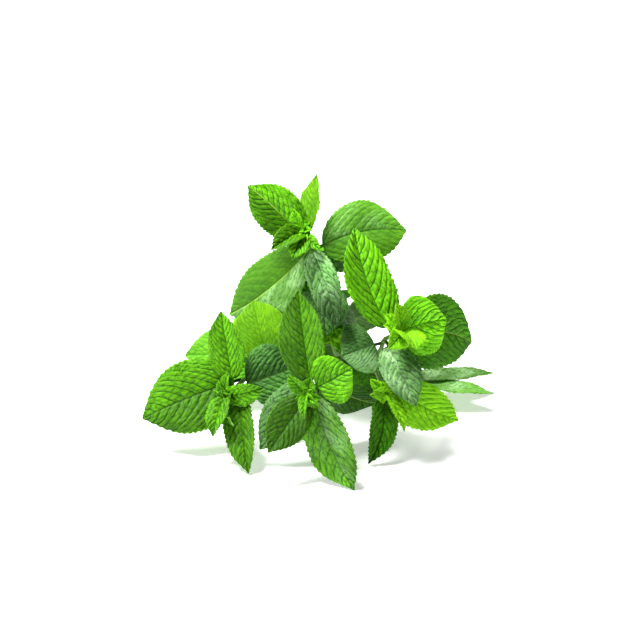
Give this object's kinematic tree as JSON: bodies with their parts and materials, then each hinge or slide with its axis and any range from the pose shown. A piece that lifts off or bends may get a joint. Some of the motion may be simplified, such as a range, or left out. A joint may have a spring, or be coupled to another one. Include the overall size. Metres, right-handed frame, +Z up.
{
  "type": "mint sprig",
  "caption": "Cut, branched sprig of mint with toothed, veined leaves in facing pairs, lying on its lower leaves and cut end; a garnish or kitchen herb.",
  "frame": {"origin": "on the surface that the sprig lies on, under the middle of its box", "axes": "+Z up from the surface; +X along the sprig's longest side; the front shoots point towards -Y and the cut end of the stem towards +Y"},
  "size_m": [0.1852, 0.1448, 0.1277],
  "materials": {
    "fresh_leaf": "satin, quilted between its veins",
    "old_leaf": "satin with a whitish bloom on the raised cells",
    "young_leaf": "satin, thin and bright",
    "pale_leaf": "matte, light from the back",
    "green_stem": "satin, finely ribbed"
  },
  "bodies": {
    "root": {"stem": "green_stem", "leaf_main_1": "fresh_leaf", "leaf_main_2": "young_leaf", "leaf_main_3": "pale_leaf", "leaf_main_4": "pale_leaf", "leaf_main_5": "old_leaf", "leaf_main_6": "old_leaf", "leaf_main_7": "old_leaf", "leaf_main_8": "fresh_leaf", "leaf_main_9": "old_leaf", "leaf_main_10": "fresh_leaf", "leaf_main_11": "old_leaf", "leaf_main_12": "old_leaf", "leaf_front_1": "fresh_leaf", "leaf_front_2": "fresh_leaf", "leaf_front_3": "fresh_leaf", "leaf_front_4": "fresh_leaf", "leaf_front_5": "old_leaf", "leaf_front_6": "old_leaf", "leaf_back_1": "fresh_leaf", "leaf_back_2": "fresh_leaf", "leaf_back_3": "fresh_leaf", "leaf_back_4": "old_leaf", "leaf_back_5": "old_leaf", "leaf_left_1": "fresh_leaf", "leaf_left_2": "fresh_leaf", "leaf_left_3": "fresh_leaf", "leaf_left_4": "old_leaf", "leaf_left_5": "young_leaf", "leaf_right_1": "fresh_leaf", "leaf_right_2": "fresh_leaf", "leaf_right_3": "old_leaf", "leaf_right_4": "fresh_leaf", "leaf_right_5": "old_leaf", "leaf_fork_1": "fresh_leaf", "leaf_fork_2": "young_leaf", "leaf_side_1": "young_leaf", "leaf_low_right_1": "pale_leaf", "leaf_low_right_2": "pale_leaf", "leaf_low_right_3": "old_leaf", "leaf_low_right_4": "fresh_leaf", "leaf_low_left_1": "young_leaf", "leaf_low_left_2": "pale_leaf", "leaf_low_left_3": "fresh_leaf", "leaf_low_left_4": "fresh_leaf", "tip_main": "young_leaf", "tip_front": "young_leaf", "tip_back": "young_leaf", "tip_left": "young_leaf", "tip_right": "young_leaf", "tip_fork": "young_leaf", "tip_side": "young_leaf", "tip_low_right": "young_leaf", "tip_low_left": "young_leaf"}
  },
  "joints": []
}
